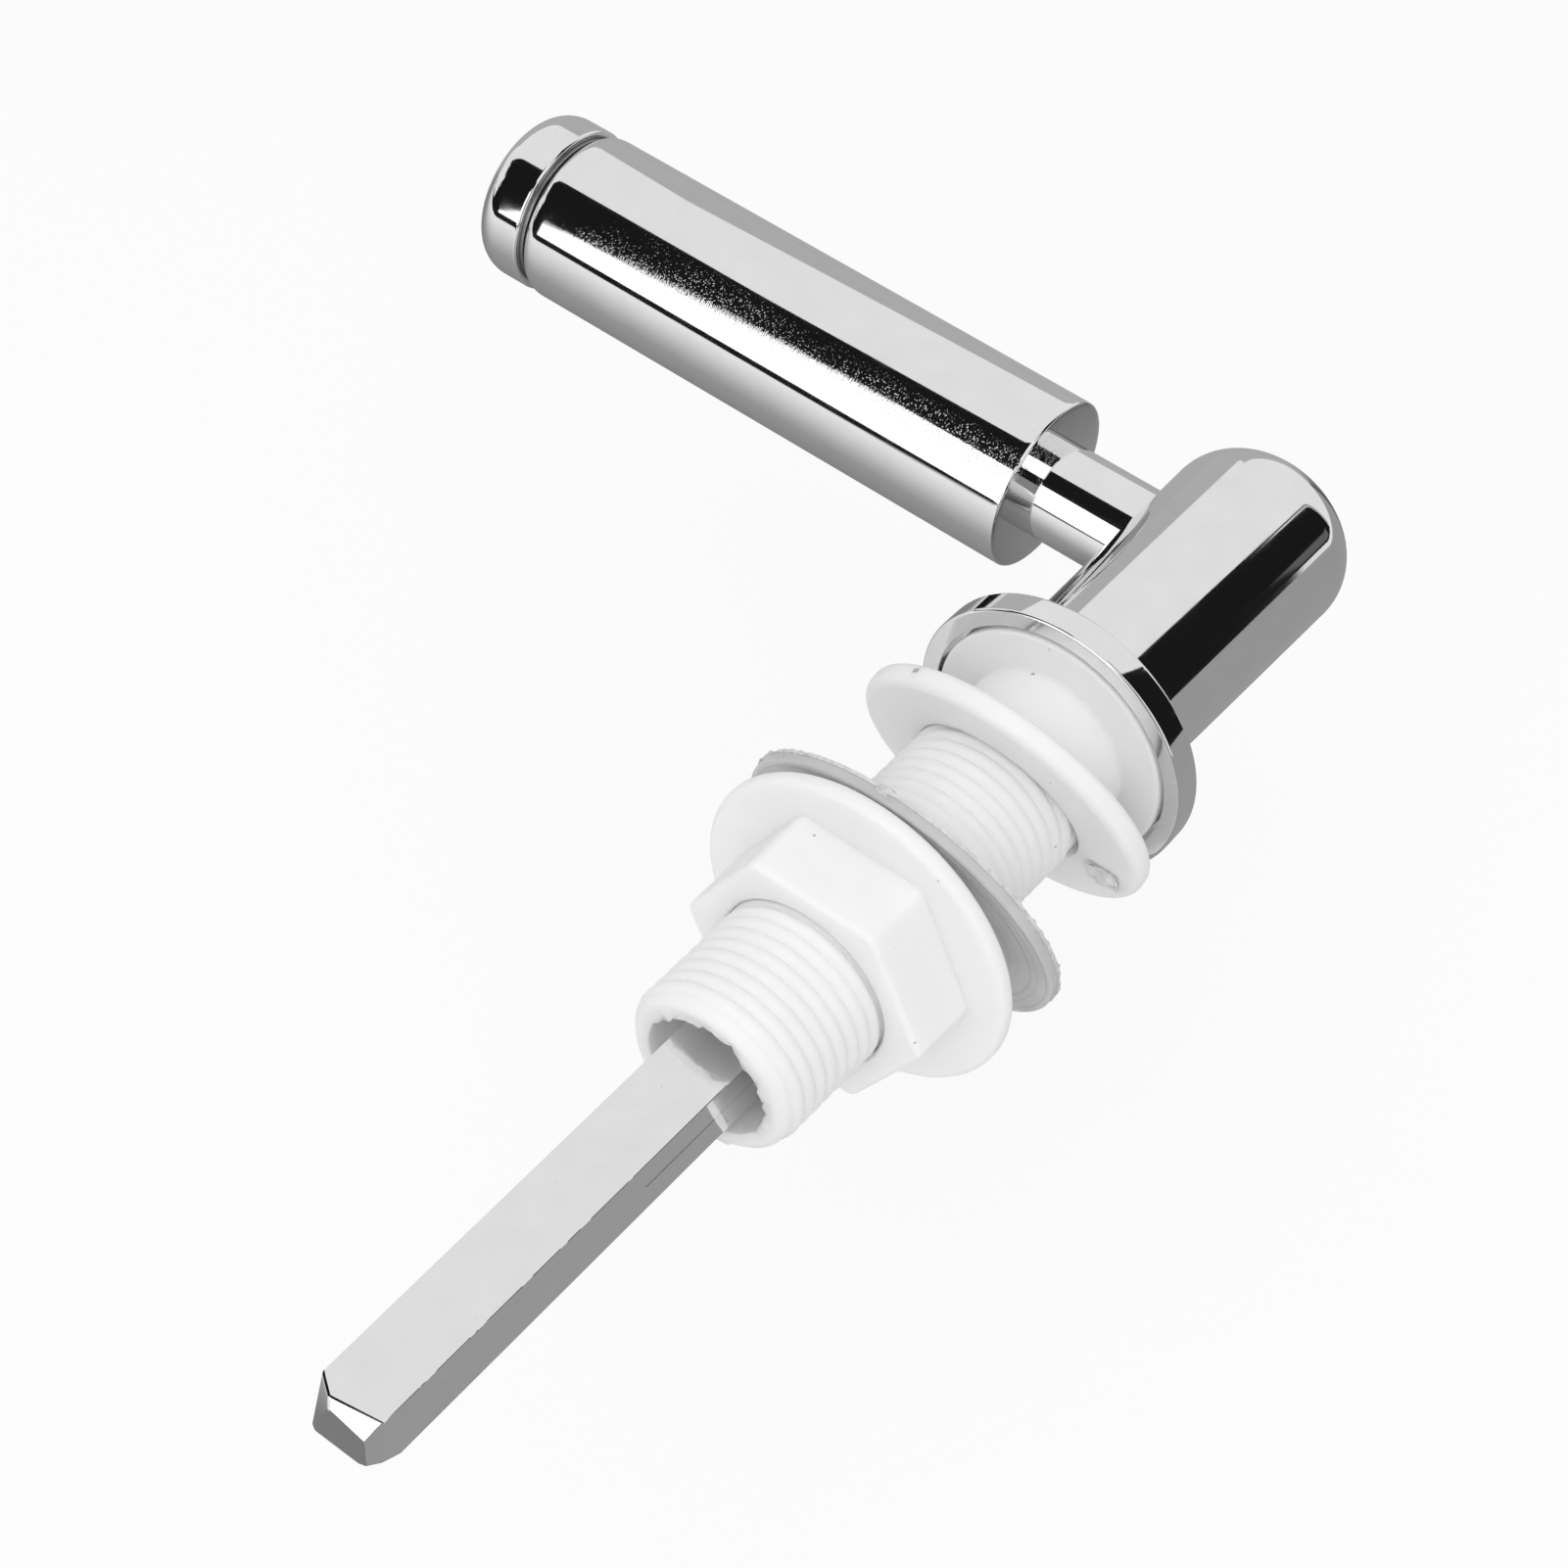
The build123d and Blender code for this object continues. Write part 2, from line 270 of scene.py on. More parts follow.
def pick(piece, test, kind="VERT"):
    """Selects the vertices, edges or faces whose place passes a test."""
    bpy.ops.mesh.select_mode(type=kind)
    bpy.ops.mesh.select_all(action="DESELECT")
    mesh = bmesh.from_edit_mesh(piece.data)
    found = False
    for part in {"VERT": mesh.verts, "EDGE": mesh.edges, "FACE": mesh.faces}[kind]:
        place = part.co if kind == "VERT" else (
            (part.verts[0].co + part.verts[1].co) / 2 if kind == "EDGE" else part.calc_center_median())
        if test(place):
            part.select_set(True)
            found = True
    bmesh.update_edit_mesh(piece.data)
    if not found:
        raise RuntimeError(f"{piece.name}: nothing to select")


def from_spindle_axis(co):
    return Vector((co.x, co.z)).length


def outline(name, corners):
    """Draws an outline in edit mode, corner by corner. A corner is a place and its rounding."""
    tidy_selection()
    first = Vector(corners[0][0])
    bpy.ops.mesh.primitive_plane_add(size=MM, location=first)
    piece = added(name)
    bpy.ops.object.mode_set(mode="EDIT")
    bpy.ops.mesh.select_mode(type="VERT")
    bpy.ops.mesh.select_all(action="SELECT")
    bpy.ops.mesh.merge(type="CENTER")
    here = first
    for place, _ in corners[1:]:
        bpy.ops.mesh.extrude_vertices_move(TRANSFORM_OT_translate={"value": Vector(place) - here})
        here = Vector(place)
    if (here - first).length < WELD:
        bpy.ops.mesh.select_all(action="SELECT")
        bpy.ops.mesh.remove_doubles(threshold=WELD)
    for place, rounding in corners:
        if rounding:
            corner = Vector(place)
            pick(piece, lambda co: (co - corner).length < NEAR)
            bpy.ops.mesh.bevel(offset=rounding, offset_type="OFFSET",
                               segments=max(5, int(rounding / ROUNDING_STEP)),
                               affect="VERTICES", clamp_overlap=False)
    return piece


def spin(piece, steps, middle, axis):
    """Turns the open outline once round an axis and closes the seam."""
    bpy.ops.mesh.select_all(action="SELECT")
    bpy.ops.mesh.spin(steps=steps, angle=math.tau, center=middle, axis=axis, use_auto_merge=True)
    bpy.ops.mesh.select_all(action="SELECT")
    bpy.ops.mesh.remove_doubles(threshold=WELD)
    bpy.ops.mesh.normals_make_consistent(inside=False)
    bpy.ops.object.mode_set(mode="OBJECT")
    return piece


def turned_about_y(name, corners, steps=ROUND_STEPS):
    """A shape turned about the spindle axis. Corners are (along, radius, rounding)."""
    piece = outline(name, [((radius, along, 0), rounding) for along, radius, rounding in corners])
    return spin(piece, steps, ORIGIN, (0, 1, 0))


def turned_about_grip(name, corners, steps):
    """A shape turned about the grip's axis. Corners are (along, radius, rounding)."""
    line = centre("grip", 1)
    piece = outline(name, [((along, line + radius, 0), rounding) for along, radius, rounding in corners])
    return spin(piece, steps, (0, line, 0), (1, 0, 0))


def roughen(offset, seed):
    """Moves what is selected about at random."""
    bpy.ops.transform.vertex_random(offset=offset, uniform=0.0, normal=0.0, seed=seed)


def apply_all(piece):
    """Applies a piece's modifiers in order."""
    only(piece)
    for name in [modifier.name for modifier in piece.modifiers]:
        bpy.ops.object.modifier_apply(modifier=name)


def smooth(piece, degrees=28):
    """Smooth shading in which the large faces stay flat beside their rounded edges."""
    only(piece)
    bpy.ops.object.shade_smooth_by_angle(angle=math.radians(degrees))
    piece.modifiers.new("even_normals", "WEIGHTED_NORMAL").keep_sharp = True
    apply_all(piece)


def join(piece, *others):
    """Joins other shapes into a piece, which keeps its name."""
    only(piece)
    for other in others:
        other.select_set(True)
    bpy.ops.object.join()


def combine(piece, *steps):
    """Unites shapes with a piece or cuts them out of it. A step is a shape and what it does."""
    for shape, operation in steps:
        step = piece.modifiers.new(operation.lower(), "BOOLEAN")
        step.operation = operation
        step.solver = "EXACT"
        step.object = shape
    apply_all(piece)
    for shape, _ in steps:
        bpy.data.objects.remove(shape)


def lean(piece, place, turn):
    """Leans a washer's top to the tail and sets the washer along the spindle axis."""
    edit(piece)
    bpy.ops.mesh.select_all(action="SELECT")
    bpy.ops.transform.rotate(value=turn, orient_axis="X", center_override=ORIGIN)
    bpy.ops.transform.translate(value=(0, place, 0))
    bpy.ops.object.mode_set(mode="OBJECT")


def finish(piece, body, slot, material, *nodes):
    """Gives a piece its finish and its body, and hides the imported nodes that it stands for."""
    piece.data.materials.clear()
    piece.data.materials.append(material)
    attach(piece, body)
    if nodes:
        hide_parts(*nodes)


class Nodes:
    """Shorthand for building one node material."""

    def __init__(self, name, world=False):
        self.block = (bpy.data.worlds if world else bpy.data.materials).new(name)
        self.block.use_nodes = True
        self.tree = self.block.node_tree
        self.tree.nodes.clear()

    def set(self, socket, value):
        """Gives a socket a fixed value, or links another node's output to it."""
        if isinstance(value, bpy.types.NodeSocket):
            self.tree.links.new(value, socket)
        else:
            socket.default_value = value

    def add(self, kind, inputs=None, **settings):
        node = self.tree.nodes.new(kind)
        for key, value in settings.items():
            setattr(node, key, value)
        for key, value in (inputs or {}).items():
            self.set(node.inputs[key], value)
        return node

    def place(self):
        """X, Y and Z of a point on the piece."""
        spot = self.add("ShaderNodeTexCoord").outputs["Object"]
        return self.add("ShaderNodeSeparateXYZ", {"Vector": spot}).outputs

    def noise(self, scale, detail, stretch=(1, 1, 1)):
        spot = self.add("ShaderNodeTexCoord").outputs["Object"]
        mapped = self.add("ShaderNodeMapping", {"Vector": spot, "Scale": stretch}).outputs["Vector"]
        return self.add("ShaderNodeTexNoise", {"Vector": mapped, "Scale": scale,
                                               "Detail": detail}).outputs["Fac"]

    def between(self, value, low, high, first=0, last=1):
        """Goes from first to last while a value goes from low to high."""
        return self.add("ShaderNodeMapRange", {"Value": value, "From Min": low, "From Max": high,
                                               "To Min": first, "To Max": last}).outputs["Result"]

    def band(self, value, start, full, fade, end):
        """Nothing up to start, all from full to fade, nothing again from end."""
        return self.times(self.between(value, start, full), self.between(value, fade, end, 1, 0))

    def tint(self, share, first, last):
        mix = self.add("ShaderNodeMix", data_type="RGBA")
        for socket, value in ((mix.inputs[0], share), (mix.inputs[6], first), (mix.inputs[7], last)):
            self.set(socket, value)
        return mix.outputs[2]

    def maths(self, operation, first, second):
        return self.add("ShaderNodeMath", {0: first, 1: second}, operation=operation).outputs[0]

    def times(self, first, second):
        return self.maths("MULTIPLY", first, second)

    def plus(self, first, second):
        return self.maths("ADD", first, second)

    def blend(self, share, first, second):
        return self.add("ShaderNodeMixShader", {0: share, 1: first.outputs[0], 2: second.outputs[0]})

    def bump(self, height, strength, distance):
        return self.add("ShaderNodeBump", {"Height": height, "Strength": strength,
                                           "Distance": distance}).outputs["Normal"]

    def glow(self, tone, strength=1.0):
        return self.add("ShaderNodeEmission", {"Color": tone, "Strength": strength})

    def surface(self, shader):
        self.add("ShaderNodeOutputMaterial", {"Surface": shader.outputs[0]})
        return self.block

    def principled(self, inputs):
        return self.surface(self.add("ShaderNodeBsdfPrincipled", inputs))


def grey(tone):
    return (tone, tone, tone, 1)


def scaled(tone, share):
    return (tone[0] * share, tone[1] * share, tone[2] * share, 1)


def made_once(build):
    """Makes a material, named as its function is, at its first use and hands the same one out later."""
    def fetch():
        name = build.__name__
        return bpy.data.materials[name] if name in bpy.data.materials else build(Nodes(name))
    return fetch


def plate(nodes):
    """Tone, roughness and waviness that all the chrome shares."""
    tone = tuple(bpy.context.scene.lever_finishes.chrome)
    haze = nodes.noise(260, 4)
    specks = nodes.between(nodes.noise(2600, 1), 0.76, 0.81)
    shade = nodes.tint(nodes.between(haze, 0.35, 0.7), tone, scaled(tone, 0.965))
    shade = nodes.tint(specks, shade, scaled(tone, 0.8))
    rough = nodes.between(haze, 0.3, 0.75, 0.035, 0.075)
    waves = nodes.times(nodes.noise(90, 2), 0.05)
    return shade, rough, waves


@made_once
def polished_chrome(nodes):
    """Polished plate: faint haze, a few dark specks and a slow waviness of the polish."""
    shade, rough, waves = plate(nodes)
    return nodes.principled({"Base Color": shade, "Metallic": 1.0, "Roughness": rough,
                             "Normal": nodes.bump(waves, 1.0, PLATE_RELIEF)})


@made_once
def worn_chrome_painted_groove_shade(nodes):
    """The grip's plate: fine pits along the side that the hand rubs, and a dull groove by the cap, darkened
    with painted shade.
    """
    size = bpy.context.scene.lever_sizes
    radius, barrel_end = half_size("grip", 1), reach("grip", 0, 1)
    shade, rough, waves = plate(nodes)
    place = nodes.place()
    rubbed = nodes.band(place["Z"], *(share * radius for share in RUBBED))
    pits = nodes.between(nodes.noise(6000, 0, (1, 0.8, 0.8)), 0.66, 0.84)
    patches = nodes.between(nodes.noise(38, 1), 0.40, 0.64, 0.005, 0.11)
    combed = nodes.times(nodes.noise(9000, 0, (1, 0.15, 0.15)), 0.028)
    wear = nodes.times(nodes.plus(nodes.times(pits, patches), combed), rubbed)
    across = nodes.plus(place["Y"], -centre("grip", 1))
    squares = nodes.plus(nodes.times(across, across), nodes.times(place["Z"], place["Z"]))
    from_axis = nodes.maths("POWER", squares, 0.5)
    waist = radius - size.groove_depth
    deep = nodes.between(from_axis, waist + 0.12 * MM, waist + 0.3 * MM, 1, 0)
    along = nodes.band(place["X"], barrel_end - 0.6 * MM, barrel_end - 0.3 * MM,
                       size.cap_start + 0.1 * MM, size.cap_start + 0.3 * MM)
    # painted shade: the bottom of the groove by the cap is darkened to grey 0.33, standing in for the shadow
    # inside it, and made rougher
    groove = nodes.times(deep, along)
    return nodes.principled({"Base Color": nodes.tint(groove, shade, grey(0.33)), "Metallic": 1.0,
                             "Roughness": nodes.plus(rough, nodes.times(groove, 0.3)),
                             "Normal": nodes.bump(nodes.plus(waves, wear), 1.0, PLATE_RELIEF)})


@made_once
def white_moulded_plastic(nodes):
    """Moulded plastic: soft sheen, fine grain, faint flow marks and a few dark specks."""
    tone = tuple(bpy.context.scene.lever_finishes.plastic)
    flow = nodes.noise(120, 3)
    grain = nodes.noise(2200, 2)
    specks = nodes.between(nodes.noise(900, 1), 0.80, 0.83)
    shade = nodes.tint(nodes.between(flow, 0.35, 0.7), tone, scaled(tone, 0.97))
    return nodes.principled({
        "Base Color": nodes.tint(specks, shade, scaled(tone, 0.55)),
        "Roughness": nodes.between(flow, 0.3, 0.7, 0.46, 0.56),
        "Normal": nodes.bump(grain, 0.12, PLASTIC_RELIEF),
        "Subsurface Weight": 0.7, "Subsurface Radius": (2.4 * MM,) * 3, "Subsurface Scale": 1.0})


@made_once
def translucent_soft_plastic(nodes):
    """Translucent washer: cloudy, satin, with a fine grain."""
    tone = tuple(bpy.context.scene.lever_finishes.soft)
    cloud = nodes.noise(150, 3)
    grain = nodes.noise(1500, 2)
    return nodes.principled({
        "Base Color": nodes.tint(nodes.between(cloud, 0.3, 0.7), tone, scaled(tone, 0.88)),
        "Roughness": nodes.between(cloud, 0.3, 0.7, 0.10, 0.18),
        "Normal": nodes.bump(grain, 0.10, PLASTIC_RELIEF), "IOR": 1.4, "Transmission Weight": 0.3,
        "Subsurface Weight": 0.6, "Subsurface Radius": (2 * MM,) * 3, "Subsurface Scale": 1.0})


@made_once
def frosted_flash(nodes):
    """The torn edge of the soft washer: whitish and rough."""
    torn = nodes.between(nodes.noise(1400, 3), 0.4, 0.6)
    return nodes.principled({
        "Base Color": nodes.tint(torn, grey(0.90), grey(0.76)), "Roughness": 0.45,
        "Normal": nodes.bump(nodes.noise(2400, 2), 0.3, 2 * PLASTIC_RELIEF),
        "IOR": 1.4, "Transmission Weight": 0.3})


class LEVER_OT_hub(Operator):
    """Hub casting: barrel with a crowned end, and the rose cup with its recess"""
    bl_idname = "lever.hub"
    bl_label = "Hub casting"

    def execute(self, context):
        size = context.scene.lever_sizes
        end, face = reach("hub", 1, 0), reach("hub", 1, 1)
        rose = half_size("hub", 0)
        taper = (size.hub_end_radius - size.hub_root_radius) / (size.rose_back - end)
        crown = size.hub_end_round + 0.4 * MM
        root, draft, rim = 0.9 * MM, 0.05 * MM, 1.6 * MM
        piece = turned_about_y("hub_casting", [
            (end, 0, 0),
            (end, size.hub_end_radius, size.hub_end_round),
            (end + crown, size.hub_end_radius - taper * crown, 0),
            (size.rose_back - root, size.hub_root_radius + taper * root, 0),
            (size.rose_back, size.hub_root_radius, 0.45 * MM),
            (size.rose_back, rose - draft, size.rose_back_round),
            (face - rim, rose, 0),
            (face, rose, size.rose_face_round),
            (face, size.recess_radius, 0.12 * MM),
            (size.recess_floor, size.recess_radius, 0),
            (size.recess_floor, 0, 0),
        ], size.steps)
        smooth(piece)
        finish(piece, "lever", "chrome", polished_chrome(), "hub")
        return {"FINISHED"}


class LEVER_OT_grip(Operator):
    """Neck, hollow grip barrel and its rounded end cap"""
    bl_idname = "lever.grip"
    bl_label = "Neck, grip and cap"

    def execute(self, context):
        size = context.scene.lever_sizes
        radius, neck = half_size("grip", 1), half_size("neck", 1)
        start, end = reach("grip", 0, 0), reach("grip", 0, 1)
        plug, cap_end = reach("grip_cap", 0, 0), reach("grip_cap", 0, 1)
        neck_start, neck_end = reach("neck", 0, 0), reach("neck", 0, 1)
        bore = radius - size.grip_wall
        boss = start + size.grip_boss
        waist = radius - size.groove_depth
        inner_edge, cap_edge = 0.3 * MM, 0.4 * MM
        for name, corners, material, node in (
            ("grip_barrel", [
                (start, 0, 0), (start, radius - 0.9 * MM, 0), (start, radius, size.grip_edge),
                (start + 1.0 * MM, radius, 0), (end - 2.6 * MM, radius, 0),
                (end, radius, size.grip_far_round), (end, bore, 0), (boss, bore, 0), (boss, 0, 0),
            ], worn_chrome_painted_groove_shade, "grip"),
            ("end_cap", [
                (plug, 0, 0), (plug, bore, inner_edge), (end, bore, 0), (end, waist, 0),
                (size.cap_start, waist, 0), (size.cap_start, radius, cap_edge),
                (cap_end - size.cap_round - cap_edge, radius, 0), (cap_end, radius, size.cap_round),
                (cap_end, 0, 0),
            ], worn_chrome_painted_groove_shade, "grip_cap"),
            ("neck_bar", [
                (neck_start, 0, 0), (neck_start, neck, inner_edge), (neck_end, neck, inner_edge),
                (neck_end, 0, 0),
            ], polished_chrome, "neck"),
        ):
            piece = turned_about_grip(name, corners, size.steps)
            smooth(piece)
            finish(piece, "lever", "chrome", material(), node)
        return {"FINISHED"}


class LEVER_OT_spindle(Operator):
    """Square spindle with its journal, its uneven hipped tip and its parting line"""
    bl_idname = "lever.spindle"
    bl_label = "Spindle"

    def execute(self, context):
        size = context.scene.lever_spindle
        start, end = reach("spindle", 1, 0), reach("spindle", 1, 1)
        half = size.side / 2
        shoulder = end - size.tip
        tidy_selection()
        bpy.ops.mesh.primitive_cube_add(size=1, location=(0, (start + end) / 2, 0),
                                        scale=(size.side, end - start, size.side))
        bar = added("spindle_bar")
        edit(bar)
        for (across, back, up), slope in TIP_HIPS:
            bpy.ops.mesh.select_all(action="SELECT")
            bpy.ops.mesh.bisect(plane_co=(across * half, end - back, up * half), plane_no=slope,
                                use_fill=True, clear_outer=True)
        pick(bar, lambda co: co.y > shoulder - 0.4 * MM, "EDGE")
        bpy.ops.mesh.bevel(offset=size.tip_edge, segments=3, affect="EDGES", clamp_overlap=True)
        # the seam runs along the upright sides, out of the bush as far as it was polished away
        for place, across in (((0, 0, -size.seam / 2), (0, 0, 1)), ((0, 0, size.seam / 2), (0, 0, 1)),
                              ((0, shoulder, 0), (0, 1, 0)), ((0, size.seam_end, 0), (0, 1, 0))):
            bpy.ops.mesh.select_all(action="SELECT")
            bpy.ops.mesh.bisect(plane_co=place, plane_no=across)
        pick(bar, lambda co: size.seam_end < co.y < shoulder - MM, "EDGE")
        bpy.ops.mesh.subdivide(number_cuts=RAG_CUTS)
        pick(bar, lambda co: abs(abs(co.x) - half) < NEAR and abs(abs(co.z) - half) < NEAR, "EDGE")
        bpy.ops.mesh.bevel(offset=size.edge, segments=2, affect="EDGES", clamp_overlap=False)
        by_edge = 0.94 * half
        pick(bar, lambda co: co.x < -by_edge and co.z > by_edge and co.y < shoulder - MM
             and self.uneven(co.y))
        roughen(size.edge_rag, 5)
        pick(bar, lambda co: abs(co.z) < size.seam / 4 and abs(co.x) > half - NEAR
             and co.y < size.seam_end, "FACE")
        bpy.ops.mesh.extrude_region_shrink_fatten(TRANSFORM_OT_shrink_fatten={"value": size.seam_height})
        bpy.ops.object.mode_set(mode="OBJECT")
        journal_radius = half_size("spindle", 0)
        journal = turned_about_y("journal", [
            (size.journal_start, 0, 0), (size.journal_start, journal_radius, 0.2 * MM),
            (size.journal_end - MM, journal_radius, 0), (size.journal_end, journal_radius - MM, 0),
            (size.journal_end, 0, 0)], 64)
        join(bar, journal)
        smooth(bar, 20)
        finish(bar, "lever", "chrome", polished_chrome(), "spindle")
        return {"FINISHED"}

    def uneven(self, along):
        """Whether the plating is uneven at a place along the edge: two waves pick a few such places."""
        return math.sin(900 * along) + math.sin(2170 * along + 1) > 0.5


class LEVER_OT_bush(Operator):
    """Threaded bush: flange with a flash line, plain shank, helical thread and a ragged bore rim"""
    bl_idname = "lever.bush"
    bl_label = "Threaded bush"

    def execute(self, context):
        size = context.scene.lever_bush
        start, end = reach("bush", 1, 0), reach("bush", 1, 1)
        flange = half_size("bush", 0)
        bush = turned_about_y("threaded_bush", [
            (start, size.bore, 0), (start, flange, size.flange_edge), (0, flange, size.flange_edge),
            (0, size.shank_radius, 0.5 * MM), (size.shank_end, size.shank_radius, 0.2 * MM),
            (size.shank_end, size.root, 0), (end - 1.0 * MM, size.root, 0.4 * MM),
            (end, size.tail_radius, 0.45 * MM), (end, size.bore, 0.2 * MM), (end - 0.8 * MM, size.bore, 0),
            (start, size.bore, 0)])
        self.tear_rim(bush, size.bore, end, size.rim_rag)
        combine(bush, (self.ridge(size, end), "UNION"), (self.flash_line(flange), "UNION"))
        smooth(bush, 40)
        finish(bush, "bush_body", "white_plastic", white_moulded_plastic(), "bush")
        return {"FINISHED"}

    def tear_rim(self, bush, bore, end, rag):
        """Leaves moulding flash on the bore's rim, except on the side where it was trimmed."""
        edit(bush)
        pick(bush, lambda co: co.y > end - 0.3 * MM and from_spindle_axis(co) < bore + 0.25 * MM
             and 0.8 * co.z - 0.6 * co.x > -2 * MM)
        roughen(rag, 3)
        bpy.ops.mesh.vertices_smooth(factor=0.5, repeat=4)
        bpy.ops.object.mode_set(mode="OBJECT")

    def ridge(self, size, end):
        """One crest of the thread, wound along the bush by the screw."""
        foot, top = size.root - 0.25 * MM, size.crest
        first = size.shank_end + 0.3 * MM
        wide, flat = size.pitch * 0.98, size.pitch * 0.4
        rise = (wide - flat) / 2
        soft = 0.34 * MM
        ridge = outline("thread", [
            ((foot, first, 0), 0), ((size.root, first, 0), 0),
            ((top, first + rise, 0), soft), ((top, first + rise + flat, 0), soft),
            ((size.root, first + wide, 0), 0), ((foot, first + wide, 0), 0), ((foot, first, 0), 0)])
        bpy.ops.object.mode_set(mode="OBJECT")
        screw = ridge.modifiers.new("winding", "SCREW")
        screw.axis = "Y"
        screw.screw_offset = size.pitch
        screw.iterations = round((end - 0.45 * MM - wide - first) / size.pitch)
        screw.steps = screw.render_steps = 72
        screw.use_normal_calculate = True
        apply_all(ridge)
        edit(ridge)
        bpy.ops.mesh.select_mode(type="EDGE")
        bpy.ops.mesh.select_non_manifold(extend=False)
        bpy.ops.mesh.fill_holes(sides=0)
        bpy.ops.mesh.select_all(action="SELECT")
        bpy.ops.transform.rotate(value=THREAD_TURN, orient_axis="Y", center_override=ORIGIN)
        bpy.ops.mesh.normals_make_consistent(inside=False)
        bpy.ops.object.mode_set(mode="OBJECT")
        return ridge

    def flash_line(self, flange):
        """Thin radial line that the mould left on the flange face."""
        tidy_selection()
        turn, middle = FLASH_LINE_TURN, 0.81 * flange
        bpy.ops.mesh.primitive_cube_add(size=1, rotation=(0, -turn, 0),
                                        location=(middle * math.cos(turn), 0, middle * math.sin(turn)),
                                        scale=(flange * 0.25, 0.14 * MM, 0.12 * MM))
        return added("flash_line")


class LEVER_OT_washers(Operator):
    """Loose washer on the flange and translucent soft washer by the nut"""
    bl_idname = "lever.washers"
    bl_label = "Washers"

    def execute(self, context):
        size = context.scene.lever_washers
        self.loose_washer(size)
        self.soft_washer(size)
        return {"FINISHED"}

    def loose_washer(self, size):
        """White washer with the mark of its gate and a nib on its rim."""
        half = size.seat_thickness / 2
        radius = half_size("seat_washer", 0)
        seat = turned_about_y("loose_washer", [
            (-half, size.seat_hole, 0.25 * MM), (-half, radius, size.seat_round),
            (half, radius, size.seat_round), (half, size.seat_hole, 0.25 * MM),
            (-half, size.seat_hole, 0)])
        self.close_sides(seat, size.seat_hole, size.side_hole)
        gate = self.lump("gate_mark", place=(-13.6 * MM, half, -5.3 * MM),
                         size=(3.6 * MM, 0.7 * MM, 3.4 * MM), rough=0.4 * MM, seed=11)
        nib = self.lump("washer_nib", place=(10.4 * MM, -0.3 * MM, 15.35 * MM),
                        size=(0.5 * MM, 0.4 * MM, 0.5 * MM), rough=0.1 * MM, seed=4)
        join(seat, gate, nib)
        lean(seat, centre("seat_washer", 1), size.seat_lean)
        smooth(seat, 40)
        finish(seat, "bush_body", "white_plastic", white_moulded_plastic(), "seat_washer")

    def soft_washer(self, size):
        """Clear soft washer with a torn, whitish flash on its wall side and the stub of its gate."""
        half = size.clamp_thickness / 2
        radius = half_size("clamp_washer", 0) - 2 * size.flash
        rings = []
        for ring in RING_RADII:
            rings += [(half, ring + 0.12 * MM, 0), (half - size.ring_depth, ring, 0),
                      (half, ring - 0.3 * MM, 0)]
        soft = turned_about_y("soft_washer", [
            (-half, size.clamp_hole, 0.1 * MM), (-half, radius, 0.15 * MM), (half, radius, 0.3 * MM), *rings,
            (half, size.clamp_hole, 0.1 * MM), (-half, size.clamp_hole, 0)], 160)
        self.close_sides(soft, size.clamp_hole, size.side_hole)
        lean(soft, centre("clamp_washer", 1), size.clamp_lean)
        smooth(soft, 40)
        finish(soft, "soft_washer_body", "soft_washer", translucent_soft_plastic(), "clamp_washer")
        inner, top = radius - 0.1 * MM, -half + 0.4 * MM
        flash = turned_about_y("soft_washer_flash", [
            (-half, inner, 0), (-half, radius + 0.5 * size.flash, 0), (top, radius + 0.4 * size.flash, 0),
            (top, inner, 0), (-half, inner, 0)], 220)
        edit(flash)
        pick(flash, lambda co: from_spindle_axis(co) > radius + 0.2 * size.flash
             and not CLEAN_RIM[0] < co.x < CLEAN_RIM[1])
        roughen(size.flash, 7)
        stub = self.lump("gate_stub", place=(0.5 * MM, -half + 0.3 * MM, radius - 0.5 * MM),
                         size=(2.0 * MM, 0.9 * MM, 1.0 * MM), rough=0.22 * MM, seed=2)
        join(flash, stub)
        lean(flash, centre("clamp_washer", 1), size.clamp_lean)
        smooth(flash, 20)
        finish(flash, "soft_washer_body", "soft_washer", frosted_flash())

    def close_sides(self, washer, hole, side):
        """Draws the sides of a leaning washer's hole in to the thread."""
        edit(washer)
        pick(washer, lambda co: from_spindle_axis(co) < hole + 0.4 * MM)
        bpy.ops.transform.resize(value=(side / hole, 1, 1), center_override=ORIGIN)
        bpy.ops.object.mode_set(mode="OBJECT")

    def lump(self, name, place, size, rough, seed):
        """A small torn lump that the moulding tool left."""
        tidy_selection()
        bpy.ops.mesh.primitive_cube_add(size=1, location=place, scale=size)
        lump = added(name)
        edit(lump)
        bpy.ops.mesh.select_all(action="SELECT")
        bpy.ops.mesh.subdivide(number_cuts=4, smoothness=0.4)
        roughen(rough, seed)
        bpy.ops.object.mode_set(mode="OBJECT")
        return lump


